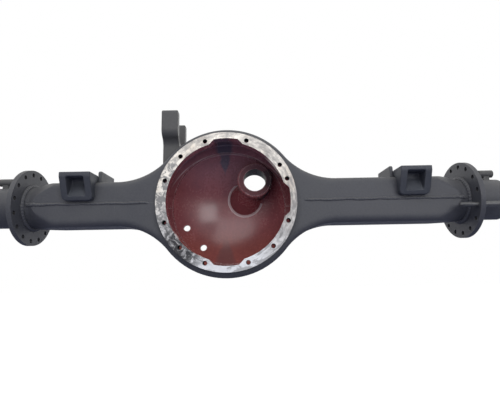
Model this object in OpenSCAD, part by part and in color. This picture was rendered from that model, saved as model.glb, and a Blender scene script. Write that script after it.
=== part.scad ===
// Banjo drive-axle housing of a heavy truck: two pressed half shells welded along the arms,
// a drilled carrier ring in front, a domed rear cover with a through-shaft boss,
// brake flanges, spindles, spring seats and a torque-rod bracket.
// Origin: centre of the machined ring face. X runs along the axle, the ring faces -Y, Z is up.

/* [Axle line] */
// Offset of the axle's middle from the ring centre
centre_off = 59; // [0:1:90]
// Distance between the inner faces of the brake flanges
flange_span = 1357; // [1300:1:1500]

/* [Shells] */
// Height of the arms
arm_h = 137; // [130:1:146]
// Depth of the arms, front to back
arm_d = 140; // [130:1:150]
// Plate thickness of the shells
shell_wall = 13; // [9:0.5:16]
// Outer radius of the pressed edges
edge_r = 17; // [14:0.5:18]
// Outer radius of the round middle
body_r = 229; // [226:1:240]
// Radius of the flares between middle and arms
flare_r = 205; // [180:1:230]
// How much thinner the stretched flares are on each side
flare_lap = 0.2; // [0.1:0.1:0.6]
// Radius of the round necks behind the flanges
neck_r = 67; // [64:0.5:68]
// Length of the round necks
neck_l = 20; // [16:1:40]
// Length over which an arm tapers into its neck
neck_taper = 96; // [70:1:120]
// Width of the seam welds along the arms
seam_w = 11; // [8:1:16]
// Height of the seam welds
seam_h = 2.4; // [1.5:0.1:4]

/* [Carrier ring] */
// Outer radius of the ring
ring_r = 211; // [207:1:211]
// Inner radius of the ring
ring_in_r = 180; // [174:1:184]
// Thickness of the ring in front of the shells
ring_t = 18; // [12:1:22]
// Radius of the bolt circle
ring_bolt_r = 193.6; // [190:0.1:195]
// Radius of the tapped holes
ring_hole_r = 7.1; // [5:0.1:8]
// Half angle between the two holes beside each main axis
ring_pair_a = 19; // [17:0.5:22]
// Angle of the locating hole that stands out of the pattern
ring_odd_a = 33; // [31:0.5:35]
// Radius of the ring's spigot inside the shells
spigot_r = 201.5; // [199:0.5:203]
// Radius of the notches in the ring's inner edge
notch_r = 192; // [188:0.5:195]
// Half angle of a notch's floor
notch_a = 11; // [8:0.5:12]

/* [Rear cover] */
// Radius of the opening in the back of the shells
rear_open_r = 188; // [180:1:190]
// Radius of the cover's rim
cover_r = 201; // [198:1:203]
// Height of the dome
cover_h = 88; // [70:1:110]
// Plate thickness of the cover
cover_wall = 9; // [6:0.5:12]
// Leg of the weld round the cover
cover_weld = 8; // [5:0.5:10]
// Radius of the two oil holes
oil_hole_r = 10; // [7:0.5:12]
// Distance of the oil holes from the ring's axis
oil_hole_at = 160; // [150:1:164]
// Angle of the filler hole
filler_a = 204; // [196:1:212]
// Angle of the drain hole
drain_a = 236; // [228:1:244]

/* [Through-shaft boss] */
// Position of the boss along the axle
boss_x = 88; // [80:1:90]
// Height of the boss above the ring's axis
boss_z = 86; // [80:1:88]
// Bore radius of the boss
boss_bore_r = 37; // [30:0.5:40]
// Radius of the bearing seat behind the bore
boss_seat_r = 46; // [42:0.5:48]
// Depth of the bearing seat from the boss's rear face
boss_seat_l = 70; // [50:1:80]
// Radius of the oil hole in the top of the bore
boss_oil_r = 5; // [3:0.5:6]
// Distance of the oil hole behind the boss's front rim
boss_oil_at = 46; // [30:1:48]
// Radius of the boss
boss_r = 57.5; // [54:0.5:60]
// Position of the foot's middle along the axle
boss_foot_x = 63; // [58:1:70]
// Height of the foot's middle above the ring's axis
boss_foot_z = 42; // [36:1:50]
// Radius of the foot at the dome's crown
boss_foot_r = 74; // [64:0.5:80]
// Distance from the boss's front rim to the tip of the foot
boss_foot_at = 8; // [6:1:16]
// Distance from the ring face to the boss's front rim
boss_front = 122; // [118:1:135]
// Edge chamfer of the boss's front rim
boss_bevel = 4; // [2:0.5:6]
// Distance from the ring face to the boss's rear face
boss_rear = 252; // [248:1:262]

/* [Brake flanges] */
// Radius of the flanges
flange_r = 120; // [116:1:130]
// Thickness of the flanges
flange_t = 14; // [10:0.5:18]
// Number of holes in a flange
flange_holes = 15; // [12:1:16]
// Radius of the hole circle
flange_bolt_r = 105; // [100:0.5:108]
// Radius of the flange holes
flange_hole_r = 6.6; // [5:0.1:7.5]
// Angle of the first hole below the front
flange_phase = 15; // [0:0.5:24]
// Leg of the weld between neck and flange
flange_weld = 9; // [6:0.5:12]

/* [Spindles] */
// Radius of the spindle's register in the flange
register_r = 58; // [55:0.5:59]
// Radius of the spindle's tail in the neck
tail_r = 52; // [48:0.5:53]
// Length of the tail
tail_l = 40; // [25:1:60]
// Radius of the spindle's root
root_r = 64; // [61:0.5:66]
// Length of the root
root_l = 102; // [98:1:120]
// Length of the taper after the root
root_taper = 26; // [15:1:35]
// Radius of the inner bearing seat
inner_seat_r = 52; // [49:0.5:54]
// Length of the inner bearing seat
inner_seat_l = 56; // [40:1:70]
// Radius of the outer bearing seat
outer_seat_r = 45; // [42:0.5:47]
// Length of the outer bearing seat
outer_seat_l = 52; // [40:1:70]
// Radius of the end for the nut
nut_end_r = 40; // [38:0.5:41]
// Length of the end for the nut
nut_end_l = 44; // [30:1:60]
// Bore radius for the half shaft
shaft_bore_r = 30; // [25:0.5:33]
// Edge chamfer of the spindle's end
end_bevel = 3; // [1:0.5:5]

/* [Spring seats] */
// Distance of a seat's middle from its brake flange
seat_in = 175.5; // [160:0.5:190]
// Height of a seat's top above the axle line
cup_top = 90; // [84:1:96]
// Height of a seat's underside above the axle line
cup_low = 8; // [4:1:14]
// Distance a seat's roof stands out before the arm
cup_out = 45; // [36:1:55]
// Distance a seat's foot stands out before the arm
cup_foot = 16; // [14:1:30]
// Width of a seat
cup_w = 92; // [86:1:98]
// Wall thickness of a seat's sides
cup_wall = 20; // [14:0.5:22]
// Thickness of a seat's roof
cup_roof = 14; // [9:0.5:15]
// Thickness of a seat's floor
cup_floor = 13; // [9:0.5:15]
// Corner radius of a seat's foot
cup_round = 13; // [9:0.5:14]
// Corner radius inside a seat
cup_in_round = 4; // [2:0.5:6]
// How far a seat's walls reach back over the arm
cup_back = 20; // [18:1:24]
// Clear width between the two spring guides
guide_gap = 88; // [84:1:96]
// Thickness of a guide
guide_t = 10; // [8:0.5:12]
// Height of a guide above the arm
guide_h = 38; // [30:1:46]
// Length of a guide
guide_l = 112; // [90:1:114]
// Distance of a guide behind its seat's walls
guide_back = 2; // [1:0.5:3]
// Corner cut at a guide's front top edge
guide_cut = 5; // [3:1:10]

/* [Torque-rod bracket] */
// Position of the bracket's middle along the axle
lug_x = -180; // [-190:1:-170]
// Width of the bracket
lug_w = 52; // [44:1:60]
// Top of the bracket above the axle line
lug_top = 302; // [290:1:315]
// Distance from the ring face to the front ear
lug_front = 36; // [32:1:44]
// Thickness of an ear
lug_t = 34; // [28:1:40]
// Clear gap between the ears
lug_gap = 102; // [90:1:112]
// Height of the front ear's flat face
lug_pad_h = 62; // [50:1:74]
// How far the bracket is drawn back below that face
lug_pad_d = 30; // [20:1:34]
// Height of the gap's floor above the axle line
lug_floor = 206; // [198:1:216]
// Corner radius of the ears
lug_round = 6; // [3:0.5:9]
// Corner radius at the gap's floor
lug_floor_r = 18; // [12:1:24]
// Gap between the bracket's heel and the weld round the cover
lug_clear = 4; // [2:0.5:8]

/* [Sensor holders and stud] */
// Length of a sensor holder along the axle
holder_l = 42; // [30:1:46]
// Radius of a holder's tube
holder_r = 12; // [10:0.5:14]
// Bore radius of a holder
holder_bore_r = 8; // [6:0.5:8.5]
// Clear height of the tube above the spindle
holder_lift = 8; // [4:0.5:12]
// Length of a holder's foot along the axle
holder_foot_l = 18; // [12:1:26]
// Width of a holder's foot
holder_foot_w = 16; // [12:0.5:20]
// Distance of a holder from the flange
holder_at = 58; // [46:1:58]
// Radius of the stud in the right flange
stud_r = 6.3; // [4:0.1:6.4]
// Length of the stud inside the flange
stud_in = 54; // [40:1:70]
// Chamfer of the stud's inner end
stud_tip = 2; // [1:0.5:3]
// Radius of the stud's shoulder
stud_head_r = 8.6; // [8:0.1:10]
// Length of the stud outside the flange
stud_out = 92; // [60:1:110]

/* [Fits] */
// Radial clearance of parts that slip together
slip = 0.15; // [0.1:0.05:0.3]

/* [Hidden] */
$fn = 96;
fine = 240;
eps = 0.5;
front_y = ring_t;
shell_mid = ring_t + arm_d / 2;
axis_y = shell_mid;
rear_y = front_y + arm_d;
end_l = centre_off - flange_span / 2;
end_r = centre_off + flange_span / 2;
flare_z = arm_h / 2 + flare_r;
flare_x = sqrt(pow(body_r + flare_r, 2) - pow(flare_z, 2));
ring_angles = [
    for (q = [0:3]) 90 * q + ring_pair_a,
    for (q = [0:3]) 90 * q - ring_pair_a,
    for (q = [1:3]) 90 * q + 45,
    ring_odd_a
];
notch_spread = ring_pair_a - notch_a - 2;
cover_sphere = (cover_r * cover_r + cover_h * cover_h) / (2 * cover_h);
cover_centre = rear_y + cover_h - cover_sphere;
taper_r = norm([arm_h / 2, arm_d / 2]);
seat_at = flange_span / 2 - seat_in;
guide_y = front_y + cup_back + guide_back;
lug_rear = lug_front + 2 * lug_t + lug_gap;
lug_heel = sqrt(pow(cover_r + cover_weld, 2) - pow(abs(lug_x) - lug_w / 2, 2)) + lug_clear;
lug_sweep = 60;
foot_turn = 40;
holder_mid = root_r + holder_lift + holder_r;
seam_end = neck_l + neck_taper * (norm([arm_d / 2, seam_w / 2]) - neck_r) / (taper_r - neck_r);
arc_steps = 12;
paint = [0.36, 0.37, 0.39];
primer = [0.55, 0.28, 0.26];
bright = [0.82, 0.82, 0.80];
bare = [0.55, 0.55, 0.54];

// Points of an arc about c with radius r, from angle a to angle b
function arc(c, r, a, b) = [
    for (i = [0:arc_steps])
        let (t = a + (b - a) * i / arc_steps)
            c + r * [cos(t), sin(t)]
];

// Turns a shape drawn about Z so that its Z runs backwards along +Y
module along_y(y = 0) {
    translate([0, y, 0]) rotate([-90, 0, 0]) children();
}

// Places a shape at an axle end, its Z running outwards from the flange's inner face
module at_end(side) {
    translate([side > 0 ? end_r : end_l, axis_y, 0]) rotate([0, 90 * side, 0]) children();
}

// Rounded rectangle of full width w and height h, corner radius r
module rounded(w, h, r) {
    square([w - 2 * r, h], center = true);
    square([w, h - 2 * r], center = true);
    for (sx = [-1, 1], sy = [-1, 1])
        translate([sx * (w / 2 - r), sy * (h / 2 - r)]) circle(r);
}

// Section of an arm, set in by the given amount
module arm_section(inset) {
    rounded(arm_h - 2 * inset, arm_d - 2 * inset, edge_r - inset);
}

// A full arm bar along X
module arm_bar(inset, x0, x1) {
    translate([x0, shell_mid, 0]) rotate([0, 90, 0]) linear_extrude(x1 - x0) arm_section(inset);
}

// Half section of the round middle, as radius and depth, set in by the given amount
module middle_section(inset) {
    intersection() {
        translate([0, shell_mid]) rounded(2 * (body_r - inset), arm_d - 2 * inset, edge_r - inset);
        square([2 * body_r, rear_y + eps]);
    }
}

// Upper middle of the shell between its two flares
module middle_shell() {
    intersection() {
        along_y() rotate_extrude() difference() {
            middle_section(0);
            middle_section(shell_wall);
            translate([0, front_y - eps]) square([spigot_r + slip, shell_wall + 2 * eps]);
            translate([0, rear_y - shell_wall - eps]) square([rear_open_r, shell_wall + 2 * eps]);
        }
        translate([0, rear_y + eps, 0]) rotate([90, 0, 0]) linear_extrude(arm_d + 2 * eps)
            polygon([[0, 0], [flare_x, flare_z], [0, 2 * flare_z], [-flare_x, flare_z]]);
    }
}

// The round tool that hollows a flare, with the pressed edge's rounding at both faces
module flare_tool(inset) {
    rf = flare_r + inset;
    r = edge_r - inset;
    d = arm_d - 2 * inset;
    translate([flare_x, shell_mid, flare_z]) along_y() rotate_extrude() difference() {
        translate([0, -d / 2 - eps]) square([rf + r, d + 2 * eps]);
        translate([rf + 2 * r, 0]) rounded(4 * r, d, r);
    }
}

// Prism under a flare, reaching past its end faces by the given margin
module flare_prism(inset, margin) {
    translate([0, rear_y - inset, 0]) rotate([90, 0, 0]) linear_extrude(arm_d - 2 * inset)
        polygon([
            [-3 * margin, -margin],
            [flare_x + margin, -margin],
            [flare_x + margin, flare_z + 3 * margin]
        ]);
}

// Right upper flare of the shell
module flare_shell() {
    difference() {
        flare_prism(flare_lap, 0);
        flare_tool(flare_lap);
        difference() {
            flare_prism(shell_wall - flare_lap, 1);
            flare_tool(shell_wall - flare_lap);
        }
        along_y(front_y - eps) cylinder(r = spigot_r + slip, h = shell_wall + 2 * eps);
        along_y(rear_y - shell_wall - eps) cylinder(r = rear_open_r, h = shell_wall + 2 * eps);
    }
}

// Upper half of an arm from its flare to its taper
module arm_shell(side) {
    x0 = side > 0 ? flare_x : end_l + neck_l + neck_taper;
    x1 = side > 0 ? end_r - neck_l - neck_taper : -flare_x;
    translate([x0, shell_mid, 0]) rotate([0, 90, 0]) linear_extrude(x1 - x0) intersection() {
        difference() {
            arm_section(0);
            arm_section(shell_wall);
        }
        translate([-arm_h, -arm_d]) square([arm_h, 2 * arm_d]);
    }
}

// Upper half of an arm's end, tapering into the round neck
module neck_shell(side) {
    intersection() {
        difference() {
            intersection() {
                neck_form(side, 0);
                arm_bar(0, end_l - eps, end_r + eps);
            }
            intersection() {
                neck_form(side, shell_wall);
                arm_bar(shell_wall, end_l - 2 * eps, end_r + 2 * eps);
            }
        }
        translate([end_l - eps, front_y - eps, 0]) cube([flange_span + 2 * eps, arm_d + 2 * eps, arm_h]);
    }
}

// Cone and neck that round off an arm's end
module neck_form(side, inset) {
    at_end(side) rotate_extrude() polygon([
        [0, -neck_l - neck_taper],
        [taper_r - inset, -neck_l - neck_taper],
        [neck_r - inset, -neck_l],
        [neck_r - inset, 0],
        [0, 0]
    ]);
}

module upper_form() {
    middle_shell();
    flare_shell();
    mirror([1, 0, 0]) flare_shell();
    for (s = [-1, 1]) {
        arm_shell(s);
        neck_shell(s);
    }
}

module shell_upper() {
    color(paint) upper_form();
}

module shell_lower() {
    color(paint) mirror([0, 0, 1]) upper_form();
}

// Outline of a notch in the ring's inner edge, pointing along +X
module notch() {
    a1 = notch_a + notch_spread;
    polygon([
        [0, 0],
        (ring_in_r - eps) * [cos(a1), -sin(a1)],
        each arc([0, 0], notch_r, -notch_a, notch_a),
        (ring_in_r - eps) * [cos(a1), sin(a1)]
    ]);
}

module carrier_ring() {
    color(bright) difference() {
        union() {
            along_y() cylinder(r = ring_r, h = ring_t);
            along_y() cylinder(r = spigot_r, h = ring_t + shell_wall);
        }
        along_y(-eps) cylinder(r = ring_in_r, h = ring_t + shell_wall + 2 * eps);
        for (a = [0, 90, 270])
            rotate([0, -a, 0]) translate([0, ring_t + shell_wall + eps, 0]) rotate([90, 0, 0])
                linear_extrude(ring_t + shell_wall + 2 * eps) notch();
        for (a = ring_angles)
            rotate([0, -a, 0]) translate([ring_bolt_r, 0, 0]) along_y(-eps)
                cylinder(r = ring_hole_r, h = ring_t + shell_wall + 2 * eps);
    }
}

// Dome of the rear cover, drawn as a half section about Y
module dome_section(r) {
    intersection() {
        translate([0, cover_centre]) circle(r);
        translate([0, rear_y]) square([cover_r, cover_h + eps]);
    }
}

// Room for the boss in what it passes through
module boss_room() {
    translate([boss_x, 0, boss_z]) along_y(rear_y) cylinder(r = boss_r + slip, h = 2 * cover_h);
}

module rear_cover() {
    color(primer) difference() {
        along_y() rotate_extrude() difference() {
            dome_section(cover_sphere);
            translate([0, cover_centre]) circle(cover_sphere - cover_wall);
        }
        boss_room();
        for (a = [filler_a, drain_a])
            translate([oil_hole_at * cos(a), 0, oil_hole_at * sin(a)]) along_y(rear_y - eps)
                cylinder(r = oil_hole_r, h = 2 * cover_h);
    }
}

module cover_weld_bead() {
    color(paint) difference() {
        along_y() rotate_extrude($fn = fine) difference() {
            polygon([
                [cover_r - cover_weld, rear_y],
                [cover_r + cover_weld, rear_y],
                [cover_r - cover_weld, rear_y + 2 * cover_weld]
            ]);
            translate([0, cover_centre]) circle(cover_sphere, $fn = 4 * fine);
        }
        boss_room();
    }
}

module shaft_boss() {
    foot_y = boss_front + boss_foot_at;
    color(primer) difference() {
        union() {
            intersection() {
                translate([boss_foot_x, 0, boss_foot_z]) along_y(foot_y) rotate([0, 0, foot_turn])
                    cylinder(r1 = eps, r2 = boss_foot_r, h = rear_y + cover_h - foot_y);
                along_y() rotate_extrude() intersection() {
                    translate([0, cover_centre]) circle(cover_sphere - cover_wall);
                    square([cover_r, rear_y + cover_h]);
                }
            }
            translate([boss_x, 0, boss_z]) along_y(boss_front)
                cylinder(r1 = boss_r - boss_bevel, r2 = boss_r, h = boss_bevel);
            translate([boss_x, 0, boss_z]) along_y(boss_front + boss_bevel)
                cylinder(r = boss_r, h = boss_rear - boss_front - boss_bevel);
        }
        translate([boss_x, 0, boss_z]) along_y(boss_front - eps)
            cylinder(r = boss_bore_r, h = boss_rear - boss_front + 2 * eps);
        translate([boss_x, 0, boss_z]) along_y(boss_rear - boss_seat_l)
            cylinder(r = boss_seat_r, h = boss_seat_l + eps);
        translate([boss_x, boss_front + boss_oil_at, boss_z]) cylinder(r = boss_oil_r, h = 2 * boss_r);
    }
}

// Hole centres of a flange, as angles about the axle seen from outside the end
function flange_angle(side, i) = side * flange_phase - 90 + 360 * i / flange_holes;

module flange(side) {
    color(paint) at_end(side) difference() {
        cylinder(r = flange_r, h = flange_t);
        translate([0, 0, -eps]) cylinder(r = register_r + slip, h = flange_t + 2 * eps);
        for (i = [0:flange_holes - 1])
            rotate([0, 0, flange_angle(side, i)]) translate([flange_bolt_r, 0, -eps])
                cylinder(r = flange_hole_r, h = flange_t + 2 * eps);
    }
}

module flange_left() {
    flange(-1);
}

module flange_right() {
    flange(1);
}

module neck_weld(side) {
    color(paint) at_end(side) difference() {
        translate([0, 0, -flange_weld])
            cylinder(r1 = neck_r + eps, r2 = neck_r + flange_weld, h = flange_weld);
        translate([0, 0, -flange_weld - eps]) cylinder(r = neck_r, h = flange_weld + 2 * eps);
    }
}

module flange_weld_left() {
    neck_weld(-1);
}

module flange_weld_right() {
    neck_weld(1);
}

module spindle(side) {
    z1 = flange_t + root_l;
    z2 = z1 + root_taper;
    z3 = z2 + inner_seat_l;
    z4 = z3 + outer_seat_l;
    z5 = z4 + nut_end_l;
    color(paint) at_end(side) rotate_extrude() polygon([
        [shaft_bore_r, -tail_l],
        [tail_r, -tail_l],
        [tail_r, 0],
        [register_r, 0],
        [register_r, flange_t],
        [root_r, flange_t],
        [root_r, z1],
        [inner_seat_r, z2],
        [inner_seat_r, z3],
        [outer_seat_r, z3],
        [outer_seat_r, z4],
        [nut_end_r, z4],
        [nut_end_r, z5 - end_bevel],
        [nut_end_r - end_bevel, z5],
        [shaft_bore_r, z5]
    ]);
}

module spindle_left() {
    spindle(-1);
}

module spindle_right() {
    spindle(1);
}

// Front outline of a seat; walls, roof and floor set in by the given amounts
module cup_outline(wall_in, top_in, foot_in, r) {
    half = cup_w / 2 - wall_in;
    top = cup_top - top_in;
    low = cup_low + foot_in;
    polygon(concat(
        [[half, top], [-half, top]],
        arc([r - half, low + r], r, 180, 270),
        arc([half - r, low + r], r, 270, 360)
    ));
}

// Side outline of a seat, its walls leaning back from the roof to the foot
module cup_lean() {
    polygon([
        [front_y - cup_out, cup_top + eps],
        [front_y - cup_out, cup_top - cup_roof],
        [front_y - cup_foot, cup_low - eps],
        [front_y + cup_back + eps, cup_low - eps],
        [front_y + cup_back + eps, cup_top + eps]
    ]);
}

module seat(side) {
    x = centre_off + side * seat_at;
    pad_w = guide_gap - 2 * slip;
    color(paint) difference() {
        union() {
            intersection() {
                translate([x, front_y + cup_back, 0]) rotate([90, 0, 0]) linear_extrude(cup_out + cup_back)
                    difference() {
                        cup_outline(0, 0, 0, cup_round);
                        cup_outline(cup_wall, cup_roof, cup_floor, cup_in_round);
                    }
                translate([x - cup_w, 0, 0]) rotate([90, 0, 90]) linear_extrude(2 * cup_w) cup_lean();
            }
            translate([x - pad_w / 2, front_y, arm_h / 2 - edge_r])
                cube([pad_w, arm_d - edge_r, cup_top - arm_h / 2 + edge_r]);
        }
        arm_bar(0, end_l, end_r);
    }
}

module seat_left() {
    seat(-1);
}

module seat_right() {
    seat(1);
}

// One spring guide; out is +1 for the guide on the wheel side and -1 for the other
module guide(side, out) {
    x = centre_off + side * (seat_at + out * (guide_gap + guide_t) / 2);
    top = arm_h / 2 + guide_h;
    color(paint) difference() {
        translate([x - guide_t / 2, guide_y, 0]) rotate([90, 0, 90]) linear_extrude(guide_t)
            polygon([
                [0, arm_h / 2 - edge_r],
                [guide_l, arm_h / 2 - edge_r],
                [guide_l, top],
                [guide_cut, top],
                [0, top - guide_cut]
            ]);
        arm_bar(0, end_l, end_r);
    }
}

module guide_outer_left() {
    guide(-1, 1);
}

module guide_inner_left() {
    guide(-1, -1);
}

module guide_inner_right() {
    guide(1, -1);
}

module guide_outer_right() {
    guide(1, 1);
}

module rod_bracket() {
    low = arm_h / 2;
    bend_top = lug_top - lug_pad_h;
    bend_low = bend_top - 2 * lug_pad_d * sin(lug_sweep);
    y0 = lug_front;
    y1 = lug_front + lug_t;
    y2 = y1 + lug_gap;
    color(paint) difference() {
        translate([lug_x - lug_w / 2, 0, 0]) rotate([90, 0, 90]) linear_extrude(lug_w)
            polygon(concat(
                arc([y0 + lug_round, lug_top - lug_round], lug_round, 180, 90),
                arc([y1 - lug_round, lug_top - lug_round], lug_round, 90, 0),
                arc([y1 + lug_floor_r, lug_floor + lug_floor_r], lug_floor_r, 180, 270),
                arc([y2 - lug_floor_r, lug_floor + lug_floor_r], lug_floor_r, 270, 360),
                arc([y2 + lug_round, lug_top - lug_round], lug_round, 180, 90),
                arc([lug_rear - lug_round, lug_top - lug_round], lug_round, 90, 0),
                [[lug_rear, lug_floor], [rear_y, lug_heel], [rear_y - edge_r, low], [y0 + lug_pad_d, low]],
                arc([y0, bend_low], lug_pad_d, 0, lug_sweep),
                arc([y0 + lug_pad_d, bend_top], lug_pad_d, 180 + lug_sweep, 180)
            ));
        along_y() rotate_extrude() middle_section(0);
        mirror([1, 0, 0]) difference() {
            flare_prism(flare_lap, 0);
            flare_tool(flare_lap);
        }
    }
}

module holder(side) {
    z = flange_t + holder_at;
    color(paint) at_end(side) rotate([0, 0, side > 0 ? 180 : 0]) difference() {
        union() {
            translate([holder_mid, 0, z]) cylinder(r = holder_r, h = holder_l);
            translate([0, -holder_foot_w / 2, z + (holder_l - holder_foot_l) / 2])
                cube([holder_mid, holder_foot_w, holder_foot_l]);
        }
        translate([holder_mid, 0, z - eps]) cylinder(r = holder_bore_r, h = holder_l + 2 * eps);
        cylinder(r = root_r, h = flange_t + root_l);
    }
}

module holder_left() {
    holder(-1);
}

module holder_right() {
    holder(1);
}

module flange_stud() {
    color(bare) at_end(1) rotate([0, 0, flange_angle(1, 0)]) translate([flange_bolt_r, 0, 0]) {
        translate([0, 0, -stud_in]) cylinder(r1 = stud_r - stud_tip, r2 = stud_r, h = stud_tip);
        translate([0, 0, stud_tip - stud_in]) cylinder(r = stud_r, h = stud_in + flange_t - stud_tip + eps);
        translate([0, 0, flange_t]) cylinder(r = stud_head_r, h = stud_out);
    }
}

// Weld bead along an arm's joint: face is -1 on the front and +1 on the back
module seam(side, face) {
    bead_r = (pow(seam_w / 2, 2) + pow(seam_h, 2)) / (2 * seam_h);
    near = body_r + seam_w / 2;
    far = (side > 0 ? end_r : -end_l) - seam_end;
    y = face > 0 ? rear_y : front_y;
    color(paint) translate([side > 0 ? near : -far, y, 0]) rotate([0, 90, 0]) linear_extrude(far - near)
        intersection() {
            translate([0, face * (seam_h - bead_r)]) circle(bead_r);
            translate([-seam_w, face > 0 ? 0 : -seam_h - eps]) square([2 * seam_w, seam_h + eps]);
        }
}

module seam_front_left() {
    seam(-1, -1);
}

module seam_front_right() {
    seam(1, -1);
}

module seam_rear_left() {
    seam(-1, 1);
}

module seam_rear_right() {
    seam(1, 1);
}

shell_upper();
shell_lower();
carrier_ring();
rear_cover();
cover_weld_bead();
shaft_boss();
flange_left();
flange_right();
flange_weld_left();
flange_weld_right();
spindle_left();
spindle_right();
seat_left();
seat_right();
guide_outer_left();
guide_inner_left();
guide_inner_right();
guide_outer_right();
rod_bracket();
holder_left();
holder_right();
flange_stud();
seam_front_left();
seam_front_right();
seam_rear_left();
seam_rear_right();
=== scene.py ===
import math
import bpy
import bmesh
from mathutils import Matrix, Vector


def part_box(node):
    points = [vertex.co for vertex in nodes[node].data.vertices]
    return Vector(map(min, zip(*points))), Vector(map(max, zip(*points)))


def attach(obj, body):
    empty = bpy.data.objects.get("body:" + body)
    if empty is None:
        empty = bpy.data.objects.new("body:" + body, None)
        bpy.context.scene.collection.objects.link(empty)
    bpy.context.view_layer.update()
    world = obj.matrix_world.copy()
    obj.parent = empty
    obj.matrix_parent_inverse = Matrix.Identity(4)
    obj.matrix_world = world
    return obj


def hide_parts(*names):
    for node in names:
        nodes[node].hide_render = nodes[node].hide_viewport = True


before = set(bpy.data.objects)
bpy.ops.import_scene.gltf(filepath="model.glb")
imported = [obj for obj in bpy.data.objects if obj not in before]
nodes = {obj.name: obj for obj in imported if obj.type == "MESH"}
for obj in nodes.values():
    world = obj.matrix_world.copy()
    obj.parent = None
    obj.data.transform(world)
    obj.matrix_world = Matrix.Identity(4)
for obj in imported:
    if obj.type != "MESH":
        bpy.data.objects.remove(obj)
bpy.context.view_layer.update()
fullTurn = 2 * math.pi
mergeReach = 1e-6  # points closer than this are one point
print("frame loaded,", len(nodes), "solid pieces")


# helpers for objects and nodes

def linkObject(name, data):
    made = bpy.data.objects.new(name, data)
    bpy.context.scene.collection.objects.link(made)
    return made


def meshFrom(name, bm):
    mesh = bpy.data.meshes.new(name)
    bm.to_mesh(mesh)
    bm.free()
    return mesh


def addNode(tree, kind, **values):
    made = tree.nodes.new(kind)
    for key, value in values.items():
        setattr(made, key, value)
    return made


def setInputs(node, **values):
    for key, value in values.items():
        node.inputs[key.replace("_", " ")].default_value = value
    return node


def feed(tree, socket, value):
    if isinstance(value, bpy.types.NodeSocket):
        tree.links.new(value, socket)
    elif value is not None:
        socket.default_value = value


def mixColours(tree, fac, first, second, blend="MIX"):
    mix = addNode(tree, "ShaderNodeMix", data_type="RGBA", blend_type=blend)
    feed(tree, mix.inputs[0], fac)
    for socket, colour in ((mix.inputs[6], first), (mix.inputs[7], second)):
        feed(tree, socket, (*colour, 1.0) if isinstance(colour, tuple) else colour)
    return mix.outputs[2]


def calc(tree, operation, first, second=None, clamp=False):
    node = addNode(tree, "ShaderNodeMath", operation=operation, use_clamp=clamp)
    for socket, value in zip(node.inputs, (first, second)):
        feed(tree, socket, value)
    return node.outputs[0]


def ramp(tree, value, low, high, outLow=0.0, outHigh=1.0):
    node = addNode(tree, "ShaderNodeMapRange", interpolation_type="SMOOTHSTEP")
    tree.links.new(value, node.inputs[0])
    for socket, number in zip(node.inputs[1:5], (low, high, outLow, outHigh)):
        socket.default_value = number
    return node.outputs[0]


def noise(tree, vector, scale, detail=4.0, rough=0.55, distort=0.0):
    node = addNode(tree, "ShaderNodeTexNoise")
    tree.links.new(vector, node.inputs["Vector"])
    setInputs(node, Scale=scale, Detail=detail, Roughness=rough, Distortion=distort)
    return node.outputs["Fac"]


def splitAxes(tree, vector):
    node = addNode(tree, "ShaderNodeSeparateXYZ")
    tree.links.new(vector, node.inputs[0])
    return [node.outputs[axis] for axis in "XYZ"]


def lengthOf(tree, first, second):
    squares = [calc(tree, "POWER", side, 2.0) for side in (first, second)]
    return calc(tree, "SQRT", calc(tree, "ADD", *squares))


def distanceTo(tree, where, spot):
    node = addNode(tree, "ShaderNodeVectorMath", operation="DISTANCE")
    tree.links.new(where, node.inputs[0])
    node.inputs[1].default_value = spot
    return node.outputs["Value"]


def surfaceNormal(tree):
    return addNode(tree, "ShaderNodeNewGeometry").outputs["Normal"]


def newGroup(name, inputs, outputs):
    tree = bpy.data.node_groups.new(name, "ShaderNodeTree")
    tree.interface.new_socket("Vector", in_out="INPUT", socket_type="NodeSocketVector")
    for label, start in inputs:
        socket = tree.interface.new_socket(label, in_out="INPUT", socket_type="NodeSocketFloat")
        socket.default_value = start
    for label in outputs:
        tree.interface.new_socket(label, in_out="OUTPUT", socket_type="NodeSocketFloat")
    return tree, tree.nodes.new("NodeGroupInput"), tree.nodes.new("NodeGroupOutput")


# shared effects, each built once. A noise is its scale, detail, roughness and, where it has one, distortion

grainForm = {"broad": (6.0, 5.0, 0.6), "fine": (160.0, 3.0, 0.5), "peel": (480.0, 2.0, 0.5),
             "main": 0.7, "lesser": 0.3}


def makePaintGrain():
    tree, entry, leave = newGroup("paintGrain", [("Scale", 1.0)], ["Mottle", "Height"])
    scaled = addNode(tree, "ShaderNodeVectorMath", operation="SCALE")
    tree.links.new(entry.outputs["Vector"], scaled.inputs[0])
    tree.links.new(entry.outputs["Scale"], scaled.inputs["Scale"])
    broad = noise(tree, scaled.outputs[0], *grainForm["broad"])
    fine = noise(tree, scaled.outputs[0], *grainForm["fine"])
    peel = noise(tree, scaled.outputs[0], *grainForm["peel"])
    for label, main, lesser in (("Mottle", broad, fine), ("Height", fine, peel)):
        blend = calc(tree, "ADD", calc(tree, "MULTIPLY", main, grainForm["main"]),
                     calc(tree, "MULTIPLY", lesser, grainForm["lesser"]))
        tree.links.new(blend, leave.inputs[label])
    return tree


# dust settled on upward faces, which also stands in as painted light on the tops
dustTopLightForm = {"upward": (-0.1, 0.9), "patches": (14.0, 6.0, 0.65), "patchSpan": (0.35, 0.75), "patchMix": 0.7,
            "even": 0.3}


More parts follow.
